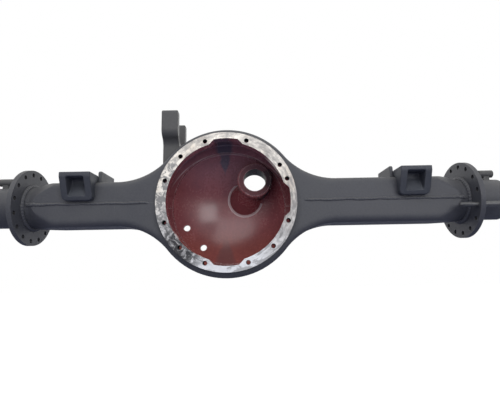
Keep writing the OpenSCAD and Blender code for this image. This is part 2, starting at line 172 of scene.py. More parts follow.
def makeDustAndTopLight():
    tree, entry, leave = newGroup("dustAndTopLight", [("Amount", 0.5)], ["Mask"])
    upward = ramp(tree, splitAxes(tree, surfaceNormal(tree))[2], *dustTopLightForm["upward"])
    patches = ramp(tree, noise(tree, entry.outputs["Vector"], *dustTopLightForm["patches"]), *dustTopLightForm["patchSpan"])
    settled = calc(tree, "ADD", calc(tree, "MULTIPLY", patches, dustTopLightForm["patchMix"]), dustTopLightForm["even"])
    film = calc(tree, "MULTIPLY", upward, settled)
    tree.links.new(calc(tree, "MULTIPLY", film, entry.outputs["Amount"], clamp=True), leave.inputs["Mask"])
    return tree


scuffForm = {"detail": 7.0, "rough": 0.7, "distort": 0.6, "contrast": 14.0}


def makeScuffs():
    tree, entry, leave = newGroup("scuffs", [("Scale", 60.0), ("Level", 0.66)], ["Mask"])
    cells = addNode(tree, "ShaderNodeTexNoise")
    tree.links.new(entry.outputs["Vector"], cells.inputs["Vector"])
    tree.links.new(entry.outputs["Scale"], cells.inputs["Scale"])
    setInputs(cells, Detail=scuffForm["detail"], Roughness=scuffForm["rough"], Distortion=scuffForm["distort"])
    over = calc(tree, "SUBTRACT", cells.outputs["Fac"], entry.outputs["Level"])
    tree.links.new(calc(tree, "MULTIPLY", over, scuffForm["contrast"], clamp=True), leave.inputs["Mask"])
    return tree


# edges made lighter: wear on the paint, and painted highlight along the edges
wearGlintForm = {"flat": 0.985, "turn": 0.80, "patches": (90.0, 5.0, 0.7), "patchSpan": (0.36, 0.66)}


def makeEdgeWearAndGlint():
    inputs = [("Radius", 0.004), ("Amount", 1.0), ("Turn", wearGlintForm["turn"])]
    tree, entry, leave = newGroup("edgeWearAndGlint", inputs, ["Mask"])
    rounded = addNode(tree, "ShaderNodeBevel", samples=4)
    tree.links.new(entry.outputs["Radius"], rounded.inputs["Radius"])
    turned = addNode(tree, "ShaderNodeVectorMath", operation="DOT_PRODUCT")
    tree.links.new(rounded.outputs[0], turned.inputs[0])
    tree.links.new(surfaceNormal(tree), turned.inputs[1])
    edge = ramp(tree, turned.outputs["Value"], wearGlintForm["flat"], wearGlintForm["turn"])
    tree.links.new(entry.outputs["Turn"], edge.node.inputs["From Max"])
    broken = ramp(tree, noise(tree, entry.outputs["Vector"], *wearGlintForm["patches"]), *wearGlintForm["patchSpan"])
    wornAndGlint = calc(tree, "MULTIPLY", edge, broken)
    tree.links.new(calc(tree, "MULTIPLY", wornAndGlint, entry.outputs["Amount"], clamp=True), leave.inputs["Mask"])
    return tree


paintGrain = makePaintGrain()
dustAndTopLight = makeDustAndTopLight()
scuffs = makeScuffs()
edgeWearAndGlint = makeEdgeWearAndGlint()
print("shared effects built")


# materials

mottleSpan = (0.3, 0.7)  # where the grain's mottle turns from dark to light


def useGroup(tree, group, vector, **values):
    node = addNode(tree, "ShaderNodeGroup")
    node.node_tree = group
    tree.links.new(vector, node.inputs["Vector"])
    return setInputs(node, **values)


def startMaterial(name):
    material = bpy.data.materials.new(name)
    material.use_nodes = True
    tree = material.node_tree
    tree.nodes.clear()
    shader = addNode(tree, "ShaderNodeBsdfPrincipled")
    out = addNode(tree, "ShaderNodeOutputMaterial")
    tree.links.new(shader.outputs[0], out.inputs[0])
    coords = addNode(tree, "ShaderNodeTexCoord")
    return material, tree, shader, coords.outputs["Object"]


def setRough(tree, shader, grain, span):
    tree.links.new(ramp(tree, grain.outputs["Mottle"], *mottleSpan, *span), shader.inputs["Roughness"])


def addBump(tree, shader, height, strength, distance, normal=None):
    bump = addNode(tree, "ShaderNodeBump")
    if normal:
        tree.links.new(normal, bump.inputs["Normal"])
    setInputs(bump, Strength=strength, Distance=distance)
    tree.links.new(height, bump.inputs["Height"])
    tree.links.new(bump.outputs[0], shader.inputs["Normal"])


housingPaint = {"colour": (0.070, 0.072, 0.080), "dark": (0.047, 0.049, 0.061), "dustTopLight": (0.150, 0.147, 0.140),
                "chip": (0.135, 0.130, 0.126), "edge": (0.150, 0.150, 0.152), "rough": (0.44, 0.60), "shine": 0.34,
                "dustAmount": 0.50, "chipScale": 55.0, "chipLevel": 0.69, "chipMix": 0.4, "edgeRadius": 0.003,
                "edgeAmount": 0.55, "bump": (0.16, 0.0012), "pressSoften": 0.020, "split": (0.016, 0.040)}
# painted shade: the seats take a darker, bluer copy of the housing paint
seatPaint = {**housingPaint, "colour": (0.052, 0.056, 0.068), "dark": (0.036, 0.040, 0.052),
             "dustTopLight": (0.074, 0.084, 0.100)}
# painted light: the bracket and holders take a lighter copy of the housing paint
litBracketPaint = {**housingPaint, "colour": (0.084, 0.084, 0.085), "dark": (0.058, 0.058, 0.061)}


def softNormal(tree, where, radius, split):
    rounded = addNode(tree, "ShaderNodeBevel", samples=6)
    rounded.inputs["Radius"].default_value = radius
    height = splitAxes(tree, where)[2]  # the split between the half shells stays flat
    away = ramp(tree, calc(tree, "ABSOLUTE", height), *split)
    mix = addNode(tree, "ShaderNodeMix", data_type="VECTOR")
    tree.links.new(away, mix.inputs[0])
    tree.links.new(surfaceNormal(tree), mix.inputs[4])
    tree.links.new(rounded.outputs[0], mix.inputs[5])
    straight = addNode(tree, "ShaderNodeVectorMath", operation="NORMALIZE")
    tree.links.new(mix.outputs[1], straight.inputs[0])
    return straight.outputs[0]


def makeHousingPaint(name, paint, soften=None):
    material, tree, shader, where = startMaterial(name)
    grain = useGroup(tree, paintGrain, where, Scale=1.0)
    dustTopLight = useGroup(tree, dustAndTopLight, where, Amount=paint["dustAmount"])
    chips = useGroup(tree, scuffs, where, Scale=paint["chipScale"], Level=paint["chipLevel"])
    edges = useGroup(tree, edgeWearAndGlint, where, Radius=paint["edgeRadius"], Amount=paint["edgeAmount"])
    shade = ramp(tree, grain.outputs["Mottle"], *mottleSpan)
    coat = mixColours(tree, shade, paint["dark"], paint["colour"])
    chipped = mixColours(tree, calc(tree, "MULTIPLY", chips.outputs["Mask"], paint["chipMix"]), coat, paint["chip"])
    # edge colour: worn paint and painted highlight on the edges
    rubbed = mixColours(tree, edges.outputs["Mask"], chipped, paint["edge"])
    # upward faces lighter: dust, and painted light on the tops
    dustyLit = mixColours(tree, dustTopLight.outputs["Mask"], rubbed, paint["dustTopLight"])
    tree.links.new(dustyLit, shader.inputs["Base Color"])
    setRough(tree, shader, grain, paint["rough"])
    shader.inputs["Specular IOR Level"].default_value = paint["shine"]
    normal = softNormal(tree, where, soften, paint["split"]) if soften else None
    addBump(tree, shader, grain.outputs["Height"], *paint["bump"], normal)
    return material


# a span or fade is where it starts and ends, then the values it goes from and to
primer = {"colour": (0.300, 0.088, 0.096), "dark": (0.64, 0.66, 0.72), "light": (0.38, 0.150, 0.150),
          "paintedShadeTop": (0.125, 0.122, 0.165), "paintedShadeLow": (0.130, 0.060, 0.062), "edge": (0.58, 0.45, 0.46),
          "high": (0.400, 0.175, 0.200), "warm": (0.300, 0.084, 0.072), "stain": (0.030, 0.025, 0.030),
          "paintedLightSpan": (0.06, 0.17), "warmSpan": (-0.03, -0.15), "shadeSpan": (0.3, 0.72),
          "rough": (0.19, 0.31), "shine": 0.5, "dryRough": (0.58, 0.72), "dryShine": 0.2, "bump": (0.06, 0.001),
          "grainScale": 0.8, "runScale": 18.0, "runLevel": 0.62, "runMix": 0.30,
          "streakAt": -0.014, "wander": 0.022, "wanderNoise": (30.0, 4.0, 0.6), "lipNoise": (22.0, 3.0, 0.6),
          "tailSpan": (0.124, 0.166, 0.002, 0.017), "wallSpan": (0.181, 0.191, 0.0, 0.014),
          "shadeLowSpan": (-0.11, -0.18, 0.012, 0.036), "bandSpan": (0.6, 1.15),
          "shadeTopFade": (0.110, 0.150, 0.0, 0.88), "shadeLowFade": (-0.09, -0.14, 0.0, 0.66),
          "lipCentre": -0.030, "lipRadius": 0.2165, "lipSpan": (0.0030, 0.0004), "lipRise": (0.06, 0.11),
          "lipDepth": (0.10, 0.13), "lipBroken": (0.3, 0.7, 0.35, 0.75),
          "darkPatchAt": (0.130, 0.122, 0.088), "darkPatchSpan": (0.056, 0.02, 0.0, 0.9),
          "edgeRadius": 0.005, "edgeAmount": 0.9, "edgeTurn": 0.91, "filletHighlight": 0.95, "bossDarken": 0.62}


def makePrimer(name, lift=0.0, darken=0.0, rough=primer["rough"], shine=primer["shine"]):
    material, tree, shader, where = startMaterial(name)
    grain = useGroup(tree, paintGrain, where, Scale=primer["grainScale"])
    runs = useGroup(tree, scuffs, where, Scale=primer["runScale"], Level=primer["runLevel"])
    shade = ramp(tree, grain.outputs["Mottle"], *primer["shadeSpan"])
    x, y, z = splitAxes(tree, where)
    # painted light: the upper part of the inside is lighter, in the high colour
    upper = mixColours(tree, ramp(tree, z, *primer["paintedLightSpan"]), primer["colour"], primer["high"])
    tone = mixColours(tree, ramp(tree, z, *primer["warmSpan"]), upper, primer["warm"])
    paint = mixColours(tree, shade, mixColours(tree, 1.0, tone, primer["dark"], "MULTIPLY"), tone)
    rubbed = mixColours(tree, calc(tree, "MULTIPLY", runs.outputs["Mask"], primer["runMix"]), paint, primer["light"])
    # painted shade: dark bands at the top of the dome and at its bottom
    waver = calc(tree, "SUBTRACT", noise(tree, where, *primer["wanderNoise"]), 0.5)  # to either side
    wander = calc(tree, "MULTIPLY", waver, primer["wander"])
    side = calc(tree, "ABSOLUTE", calc(tree, "ADD", calc(tree, "SUBTRACT", x, primer["streakAt"]), wander))
    tail = ramp(tree, z, *primer["tailSpan"])  # narrow on the dome, broad on the wall above it
    shadeTopWide = calc(tree, "ADD", tail, ramp(tree, z, *primer["wallSpan"]))
    shadeLowWide = ramp(tree, z, *primer["shadeLowSpan"])

    def band(width, fade):
        within = calc(tree, "SUBTRACT", 1.0, ramp(tree, calc(tree, "DIVIDE", side, width), *primer["bandSpan"]))
        return calc(tree, "MULTIPLY", within, ramp(tree, z, *fade))

    shadedTop = mixColours(tree, band(shadeTopWide, primer["shadeTopFade"]), rubbed, primer["paintedShadeTop"])
    shadedLow = mixColours(tree, band(shadeLowWide, primer["shadeLowFade"]), shadedTop, primer["paintedShadeLow"])
    # painted highlight: a light line on the wall over the dome, along the rim
    reach = lengthOf(tree, x, calc(tree, "SUBTRACT", z, primer["lipCentre"]))
    off = calc(tree, "ABSOLUTE", calc(tree, "SUBTRACT", reach, primer["lipRadius"]))
    line = calc(tree, "MULTIPLY", ramp(tree, off, *primer["lipSpan"]), ramp(tree, z, *primer["lipRise"]))
    deep = calc(tree, "MULTIPLY", line, ramp(tree, y, *primer["lipDepth"]))
    broken = ramp(tree, noise(tree, where, *primer["lipNoise"]), *primer["lipBroken"])
    rimHighlighted = mixColours(tree, calc(tree, "MULTIPLY", deep, broken), shadedLow, primer["edge"])
    # darker patch beside the boss; darken makes a whole piece darker, as on the boss face
    away = calc(tree, "ADD", distanceTo(tree, where, primer["darkPatchAt"]), wander)
    near = ramp(tree, away, *primer["darkPatchSpan"])
    darkened = mixColours(tree, calc(tree, "MAXIMUM", near, darken), rimHighlighted, primer["stain"])
    # edges lighter: worn edges and painted highlight along rims and holes
    edges = useGroup(tree, edgeWearAndGlint, where, Radius=primer["edgeRadius"], Amount=primer["edgeAmount"],
                     Turn=primer["edgeTurn"])
    # lift adds painted highlight in the edge colour over the whole piece, as on the boss fillet
    wornAndGlint = calc(tree, "ADD", edges.outputs["Mask"], lift, clamp=True)
    tree.links.new(mixColours(tree, wornAndGlint, darkened, primer["edge"]), shader.inputs["Base Color"])
    setRough(tree, shader, grain, rough)
    shader.inputs["Specular IOR Level"].default_value = shine
    addBump(tree, shader, grain.outputs["Height"], *primer["bump"])
    return material


# a spot is its place, then the distances where it starts and is full, then its strength
machined = {"bright": (0.70, 0.665, 0.615), "grey": (0.17, 0.17, 0.175), "grease": (0.040, 0.040, 0.044),
            "tan": (0.40, 0.33, 0.26), "dull": (0.52, 0.52, 0.545), "shade": (0.21, 0.20, 0.20),
            "footHighlight": (0.78, 0.80, 0.84), "stretch": 0.055, "wipeScale": 46.0, "wipeLevel": 0.49,
            "speckScale": 48.0, "speckLevel": 0.465, "streakNoise": (150.0, 4.0, 0.6), "filmNoise": (9.0, 5.0, 0.6),
            "markNoise": (220.0, 3.0, 0.6), "greaseNoise": (36.0, 6.0, 0.7, 1.2), "tanSpan": (0.42, 0.70, 0.0, 0.6),
            "dullSpan": (0.12, -0.06), "dullDrift": 0.10, "dullMix": 0.8, "wipeMix": (0.46, 0.76),
            "speckMix": (0.38, 0.95), "streakSpan": (0.38, 0.62), "streakMix": (0.45, 1.35),
            "highlightMix": (1.25, 0.40), "greaseSpan": (0.40, 0.53), "rough": (0.34, 0.52), "metal": 0.6,
            "turnPitch": 1500.0, "turnMix": 0.25, "bump": (0.05, 0.0006),
            "speckSpot": ((-0.195, 0.0, 0.02), (0.17, 0.06)), "greaseSpot": ((-0.135, 0.0, -0.135), (0.115, 0.03)),
            "shadeSpots": (((0.200, 0.0, -0.010), (0.135, 0.04), 0.80), ((0.120, 0.0, 0.165), (0.120, 0.04), 0.44)),
            "footHighlightSpot": ((0.010, 0.0, -0.205), (0.175, 0.06), 0.62)}


def makeMachined(name):
    material, tree, shader, where = startMaterial(name)
    x, y, z = splitAxes(tree, where)
    around = calc(tree, "ARCTAN2", x, z)  # runs round the ring, cut at the lowest point
    reach = lengthOf(tree, x, z)
    polar = addNode(tree, "ShaderNodeCombineXYZ")
    for socket, value in zip(polar.inputs, (calc(tree, "MULTIPLY", around, machined["stretch"]), reach, y)):
        tree.links.new(value, socket)
    wipes = useGroup(tree, scuffs, polar.outputs[0], Scale=machined["wipeScale"], Level=machined["wipeLevel"])
    specks = useGroup(tree, scuffs, where, Scale=machined["speckScale"], Level=machined["speckLevel"])
    streaks = noise(tree, polar.outputs[0], *machined["streakNoise"])
    film = noise(tree, where, *machined["filmNoise"])
    marks = noise(tree, where, *machined["markNoise"])

    def nearTo(place, span):
        return ramp(tree, distanceTo(tree, where, place), *span)

    drift = calc(tree, "MULTIPLY", film, machined["dullDrift"])
    low = ramp(tree, calc(tree, "ADD", z, drift), *machined["dullSpan"])
    base = mixColours(tree, ramp(tree, film, *machined["tanSpan"]), machined["bright"], machined["tan"])
    dulled = mixColours(tree, calc(tree, "MULTIPLY", low, machined["dullMix"]), base, machined["dull"])
    smeared = calc(tree, "MULTIPLY", wipes.outputs["Mask"], ramp(tree, low, 0.0, 1.0, *machined["wipeMix"]))
    speckNear = ramp(tree, nearTo(*machined["speckSpot"]), 0.0, 1.0, *machined["speckMix"])
    speckled = calc(tree, "MULTIPLY", specks.outputs["Mask"], speckNear)
    tone = mixColours(tree, speckled, mixColours(tree, smeared, dulled, machined["grey"]), machined["grey"])
    for place, span, strength in machined["shadeSpots"]:  # painted shade on the right, broken into streaks
        streaky = ramp(tree, streaks, *machined["streakSpan"], *(strength * share for share in machined["streakMix"]))
        tone = mixColours(tree, calc(tree, "MULTIPLY", nearTo(place, span), streaky), tone, machined["shade"])
    place, span, strength = machined["footHighlightSpot"]  # painted highlight, bright and bluish, at the foot, broken by the polish streaks
    highlit = ramp(tree, wipes.outputs["Mask"], 0.0, 1.0, *(strength * share for share in machined["highlightMix"]))
    tone = mixColours(tree, calc(tree, "MULTIPLY", nearTo(place, span), highlit), tone, machined["footHighlight"])
    smear = ramp(tree, noise(tree, where, *machined["greaseNoise"]), *machined["greaseSpan"])
    blot = calc(tree, "MULTIPLY", nearTo(*machined["greaseSpot"]), smear, clamp=True)
    tree.links.new(mixColours(tree, blot, tone, machined["grease"]), shader.inputs["Base Color"])
    tree.links.new(ramp(tree, wipes.outputs["Mask"], 0.0, 1.0, *machined["rough"]), shader.inputs["Roughness"])
    shader.inputs["Metallic"].default_value = machined["metal"]
    turned = calc(tree, "SINE", calc(tree, "MULTIPLY", reach, machined["turnPitch"]))  # fine turning marks
    height = calc(tree, "ADD", calc(tree, "MULTIPLY", turned, machined["turnMix"]), marks)
    addBump(tree, shader, height, *machined["bump"])
    return material


steelGrain = {"stainScale": 70.0, "stainLevel": 0.55, "stainMix": 0.7, "scale": 2.0, "bump": (0.12, 0.0008)}
bareSteel = {"colour": (0.105, 0.106, 0.110), "stain": (0.050, 0.048, 0.046), "rough": (0.36, 0.55),
             "metal": 0.55, "shine": 0.35}
groundSteel = {"colour": (0.34, 0.34, 0.345), "stain": (0.17, 0.16, 0.15), "rough": (0.30, 0.46),
               "metal": 0.85, "shine": 0.5}
oiledSteel = {"colour": (0.050, 0.050, 0.053), "stain": (0.022, 0.021, 0.022), "rough": (0.55, 0.72),
              "metal": 0.25, "shine": 0.2}


def makeSteel(name, steel):
    material, tree, shader, where = startMaterial(name)
    stain = useGroup(tree, scuffs, where, Scale=steelGrain["stainScale"], Level=steelGrain["stainLevel"])
    grain = useGroup(tree, paintGrain, where, Scale=steelGrain["scale"])
    spread = calc(tree, "MULTIPLY", stain.outputs["Mask"], steelGrain["stainMix"])
    tree.links.new(mixColours(tree, spread, steel["colour"], steel["stain"]), shader.inputs["Base Color"])
    setRough(tree, shader, grain, steel["rough"])
    shader.inputs["Metallic"].default_value = steel["metal"]
    shader.inputs["Specular IOR Level"].default_value = steel["shine"]
    addBump(tree, shader, grain.outputs["Height"], *steelGrain["bump"])
    return material


paintMaterial = makeHousingPaint("housingPaint", housingPaint)
pressedMaterial = makeHousingPaint("pressedPaint", housingPaint, housingPaint["pressSoften"])
shadedSeatMaterial = makeHousingPaint("seatPaint", seatPaint)
litCastMaterial = makeHousingPaint("litBracketPaint", litBracketPaint)
primerMaterial = makePrimer("innerPrimer")
filletHighlightMaterial = makePrimer("filletHighlightPrimer", primer["filletHighlight"])
bossFaceMaterial = makePrimer("bossFacePrimer", 0.0, primer["bossDarken"], primer["dryRough"], primer["dryShine"])
machinedMaterial = makeMachined("ringMachined")
bareMaterial = makeSteel("studBare", bareSteel)
groundMaterial = makeSteel("spindleGround", groundSteel)
oiledMaterial = makeSteel("threadOiled", oiledSteel)
print("materials built")


# which finish each face of the solid pieces carries

housing = {"middleRadius": 0.229, "flareRadius": 0.205, "armHalf": 0.0685, "front": 0.018, "rear": 0.158,
           "axisY": 0.088, "endLeft": -0.6195, "endRight": 0.7375, "neck": 0.020, "neckInner": 0.060,
           "neckOuter": 0.067, "coneSlope": 0.3224, "skin": 0.008, "openRadius": 0.190, "domeTilt": 0.05}
flareZ = housing["armHalf"] + housing["flareRadius"]
flareX = math.sqrt((housing["middleRadius"] + housing["flareRadius"]) ** 2 - flareZ ** 2)


def fromNeck(x):  # how far a place lies inside the nearer neck
    return min(x - housing["endLeft"], housing["endRight"] - x) - housing["neck"]


def shellInner(face):
    x, y, z = face.center.x, face.center.y, abs(face.center.z)
    fromAxis = math.hypot(y - housing["axisY"], z)
    if fromNeck(x) < 0:
        return fromAxis < housing["neckInner"]
    if math.hypot(x, z) < housing["openRadius"]:
        return True
    cone = housing["neckOuter"] + housing["coneSlope"] * fromNeck(x) - fromAxis
    x = abs(x)
    if x < flareX and z > flareZ * x / flareX:
        side = housing["middleRadius"] - math.hypot(x, z)
    elif x < flareX:
        side = math.hypot(x - flareX, z - flareZ) - housing["flareRadius"]
    else:
        side = housing["armHalf"] - z
    return min(side, y - housing["front"], housing["rear"] - y, cone) > housing["skin"]


def coverOuter(face):
    return face.normal.y > housing["domeTilt"] and face.center.y > housing["rear"]


boss = {"x": 0.088, "z": 0.086, "seat": 0.0475, "behind": 0.165, "front": 0.1225, "outside": (0.05175, 0.05865),
        "flat": 0.9, "upright": 0.2}


def bossFinish(face):
    reach = math.hypot(face.center.x - boss["x"], face.center.z - boss["z"])
    if face.normal.y > boss["flat"] or (reach < boss["seat"] and abs(face.normal.y) < boss["upright"]):
        return 2
    if face.center.y < boss["front"]:
        return 3
    return boss["outside"][0] < reach < boss["outside"][1] and face.center.y > boss["behind"]


ringLook = {"face": 0.0175, "inner": 0.1925, "edge": 0.001, "flat": 0.5}


def ringFinish(face):
    if abs(face.normal.y) > ringLook["flat"]:
        return face.center.y >= ringLook["face"]
    inward = face.normal.x * face.center.x + face.normal.z * face.center.z < 0
    reach = math.hypot(face.center.x, face.center.z)
    return inward and reach < ringLook["inner"] and face.center.y > ringLook["edge"]


flangeLook = {"holes": (0.097, 0.1125), "upright": 0.3}


def flangeFinish(face):
    reach = math.hypot(face.center.y - housing["axisY"], face.center.z)
    return abs(face.normal.x) < flangeLook["upright"] and flangeLook["holes"][0] < reach < flangeLook["holes"][1]


spindleLook = {"painted": 0.118}


def spindleFinish(face):
    out = max(housing["endLeft"] - face.center.x, face.center.x - housing["endRight"])
    return out > spindleLook["painted"]


# a test gives the number of the material that a face takes
finishes = {
    "rear_cover": (coverOuter, primerMaterial, paintMaterial),
    "carrier_ring": (ringFinish, machinedMaterial, primerMaterial),
    "shaft_boss": (bossFinish, primerMaterial, paintMaterial, oiledMaterial, bossFaceMaterial),
    "flange_stud": (None, bareMaterial),
    "rod_bracket": (None, litCastMaterial)}
for half in ("upper", "lower"):
    finishes["shell_" + half] = (shellInner, pressedMaterial, primerMaterial)
for end in ("left", "right"):
    finishes["flange_" + end] = (flangeFinish, paintMaterial, oiledMaterial)
    finishes["spindle_" + end] = (spindleFinish, paintMaterial, groundMaterial)
    finishes["seat_" + end] = (None, shadedSeatMaterial)
    finishes["holder_" + end] = (None, litCastMaterial)

for name, piece in nodes.items():
    test, *looks = finishes.get(name, (None, paintMaterial))
    piece.data.materials.clear()
    for look in looks:
        piece.data.materials.append(look)
    if test:
        for face in piece.data.polygons:
            face.material_index = int(test(face))
print("solid pieces dressed")


# castings with soft edges, in place of the sharp solids

def finishPiece(name, bm, look, stands=()):
    mesh = meshFrom(name, bm)
    mesh.materials.append(look)
    piece = linkObject(name, mesh)
    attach(piece, "root")
    if stands:
        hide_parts(*stands)


castForm = {"voxel": 0.0016, "rounds": 7, "soften": 0.5,
            "pieces": {"seat_left": shadedSeatMaterial, "seat_right": shadedSeatMaterial, "rod_bracket": litCastMaterial,
                       "guide_inner_left": paintMaterial, "guide_outer_left": paintMaterial,
                       "guide_inner_right": paintMaterial, "guide_outer_right": paintMaterial}}
# half width, then the side outline as depth and height
cupRamp = {"half": 0.0280, "section": ((-0.0020, 0.0195), (0.0176, 0.0195), (0.0176, 0.0515), (0.0212, 0.0650))}


def addRamp(bm, node):  # the slanted floor inside a seat's cup, from its lip up to the arm
    low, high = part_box(node)
    first = (low[0] + high[0]) / 2 - cupRamp["half"]
    corners = [bmesh.ops.create_vert(bm, co=(first, y, z))["vert"][0] for y, z in cupRamp["section"]]
    end = bmesh.ops.contextual_create(bm, geom=corners)["faces"]
    grown = bmesh.ops.extrude_face_region(bm, geom=end, use_keep_orig=True)["geom"]
    far = [part for part in grown if isinstance(part, bmesh.types.BMVert)]
    bmesh.ops.translate(bm, verts=far, vec=(2 * cupRamp["half"], 0, 0))
    bmesh.ops.recalc_face_normals(bm, faces=bm.faces)


def makeCast(node, look):
    bm = bmesh.new()
    bm.from_mesh(nodes[node].data)
    bmesh.ops.remove_doubles(bm, verts=bm.verts, dist=mergeReach)
    if node.startswith("seat"):
        addRamp(bm, node)
    rough = linkObject("roughCast", meshFrom("roughCast", bm))
    remesh = rough.modifiers.new("remesh", "REMESH")
    remesh.mode, remesh.voxel_size = "VOXEL", castForm["voxel"]
    even = bpy.data.meshes.new_from_object(rough.evaluated_get(bpy.context.evaluated_depsgraph_get()))
    bpy.data.objects.remove(rough)
    bm = bmesh.new()
    bm.from_mesh(even)
    for turn in range(castForm["rounds"]):
        bmesh.ops.smooth_vert(bm, verts=bm.verts, factor=castForm["soften"],
                              use_axis_x=True, use_axis_y=True, use_axis_z=True)
    for face in bm.faces:
        face.smooth = True
    finishPiece("cast_" + node, bm, look, (node,))


for node, look in castForm["pieces"].items():
    makeCast(node, look)
print("castings softened")


# rippled welds and threads, each laid out on a grid

sheetWall = 0.0008


def gridPiece(name, grid, places, look, closed=False, stands=(), wall=sheetWall):
    bm = bmesh.new()
    for place in places:
        made = bmesh.ops.create_grid(bm, x_segments=grid[0], y_segments=grid[1], size=0.5)
        for vert in made["verts"]:
            vert.co = place(vert.co.x + 0.5, vert.co.y + 0.5)
    if closed:
        bmesh.ops.remove_doubles(bm, verts=bm.verts, dist=mergeReach)
    sheet = bm.faces[:]
    for face in sheet:
        face.smooth = True
    if wall:  # a sheet gets a hidden underside, so that each bead is a closed form
        bm.normal_update()
        bmesh.ops.solidify(bm, geom=sheet, thickness=wall)
        for face in set(bm.faces).difference(sheet):
            face.smooth = False
    finishPiece(name, bm, look, stands)


handWaves = ((0.5, 3, 0.7), (0.3, 7, 2.1), (0.2, 17, 4.0))  # share, count and start of each wave


def wobble(t, turns=1.0):  # the unsteady hand of a welder
    phase = fullTurn * turns * t
    return sum(share * math.sin(count * phase + start) for share, count, start in handWaves)


def crownOf(bead, w, distance, pitch):  # a round back with ripples across it
    ripple = abs(math.sin(math.pi * (distance / pitch + bead["lean"] * w * w)))
    return max(0.0, 1 - w * w) ** 0.5 * (bead["still"] + (1 - bead["still"]) * ripple)


def pushOf(bead, crown):  # the same way along both legs of a corner
    return (bead["bulge"] * crown - bead["sink"]) * math.sqrt(0.5)


seamBead = {"near": 0.2345, "end": 0.008, "halfWidth": 0.0055, "even": 0.80, "uneven": 0.14, "waves": 2,
            "height": 0.0033, "pitch": 0.0046, "still": 0.72, "lean": 0.4, "sink": 0.0004, "fade": 0.012,
            "heavyRun": 0.075, "heavyWide": 0.45, "heavyHigh": 0.3, "heavyDrift": 2, "heavyWaves": 9,
            "drift": 0.0011, "driftWaves": 1.5, "step": 0.0009, "rows": 8}


def armReach(x):  # from the axle's axis to the flat wall of the arm, or to the round neck at its end
    neck = housing["neckOuter"] + housing["coneSlope"] * max(0.0, fromNeck(x))
    return min(housing["rear"] - housing["axisY"], neck)


def makeSeam(side, back):
    name = "seam_%s_%s" % ("rear" if back else "front", "right" if side > 0 else "left")
    start = side * seamBead["near"]
    stop = housing["endRight"] - seamBead["end"] if side > 0 else housing["endLeft"] + seamBead["end"]
    first, last = min(start, stop), max(start, stop)
    out = 1 if back else -1

    def place(u, v):
        x = first + (last - first) * u
        w = (2 * v - 1) * -out
        taper = min(1.0, (x - first) / seamBead["fade"], (last - x) / seamBead["fade"])
        heavy = max(0.0, 1 - abs(x - stop) / seamBead["heavyRun"])  # the last run, beside the flange, is thicker
        share = seamBead["even"] + seamBead["uneven"] * wobble(u, seamBead["waves"]) + seamBead["heavyWide"] * heavy
        wide = seamBead["halfWidth"] * share * (0.5 + 0.5 * taper)
        shake = seamBead["heavyDrift"] * heavy * wobble(u, seamBead["heavyWaves"])
        middle = seamBead["drift"] * (wobble(u, seamBead["driftWaves"]) + shake)
        crown = crownOf(seamBead, w, x, seamBead["pitch"])
        high = seamBead["height"] * crown * max(taper, 0.0) * (1 + seamBead["heavyHigh"] * heavy)
        lift = high - seamBead["sink"] * (1 - crown)
        return Vector((x, housing["axisY"] + out * (armReach(x) + lift), middle + w * wide))

    grid = (int((last - first) / seamBead["step"]), seamBead["rows"])
    gridPiece("bead_" + name, grid, [place], paintMaterial, stands=(name,))


for side in (-1, 1):
    makeSeam(side, False)
    makeSeam(side, True)

# a ring has whole ripples, so that it closes
neckBead = {"radius": 0.067, "from": 0.0, "way": -1, "leg": 0.009, "even": 0.88, "uneven": 0.10, "bulge": 0.0030,
            "sink": 0.0002, "ripples": 47, "still": 0.55, "lean": 0.35, "grid": (420, 9)}
rootBead = {**neckBead, "radius": 0.064, "from": 0.014, "way": 1, "leg": 0.008, "bulge": 0.0026}


def makeRingBead(name, side, bead, stands=()):
    end = housing["endRight"] if side > 0 else housing["endLeft"]
    corner, run = end + side * bead["from"], side * bead["way"]  # inwards on the neck, outwards on the spindle

    def place(u, v):
        angle = fullTurn * u
        leg = bead["leg"] * (bead["even"] + bead["uneven"] * wobble(u))
        push = pushOf(bead, crownOf(bead, 2 * v - 1, u, 1 / bead["ripples"]))
        radius = bead["radius"] + leg * v + push
        x = corner + run * (leg * (1 - v) + push)
        return Vector((x, housing["axisY"] - run * radius * math.cos(angle), radius * math.sin(angle)))

    gridPiece("bead_" + name, bead["grid"], [place], paintMaterial, True, stands)


for side, end in ((-1, "left"), (1, "right")):
    makeRingBead("flange_weld_" + end, side, neckBead, ("flange_weld_" + end,))
    makeRingBead("spindle_root_" + end, side, rootBead)

guideBead = {"leg": 0.006, "even": 0.88, "uneven": 0.12, "waves": 0.6, "endLeg": 0.4, "endRise": 12,
             "bulge": 0.0018, "sink": 0.0002, "pitch": 0.0070, "still": 0.6, "lean": 0.35,
             "from": 0.043, "to": 0.139, "grid": (120, 7),
             "guides": (("guide_outer_left", -1), ("guide_inner_left", 1),
                        ("guide_inner_right", -1), ("guide_outer_right", 1))}


def makeGuideBead(guide, out):
    low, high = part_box(guide)
    foot = high[0] if out > 0 else low[0]

    def place(u, v):
        along = 1 - u if out > 0 else u
        y = guideBead["from"] + (guideBead["to"] - guideBead["from"]) * along
        share = guideBead["even"] + guideBead["uneven"] * wobble(along, guideBead["waves"])
        leg = guideBead["leg"] * share * min(1.0, guideBead["endLeg"] + guideBead["endRise"] * min(along, 1 - along))
        push = pushOf(guideBead, crownOf(guideBead, 2 * v - 1, y, guideBead["pitch"]))
        return Vector((foot + out * (leg * v + push), y, housing["armHalf"] + leg * (1 - v) + push))

    return place


gridPiece("bead_guide_welds", guideBead["grid"], [makeGuideBead(*guide) for guide in guideBead["guides"]],
          paintMaterial)

coverBead = {"outer": 0.209, "inner": 0.1885, "rise": 0.0135, "bulgeOut": 0.0009, "bulgeBack": 0.00144,
             "sink": 0.0003, "ripples": 154, "still": 0.6, "lean": 0.35, "grid": (900, 9)}


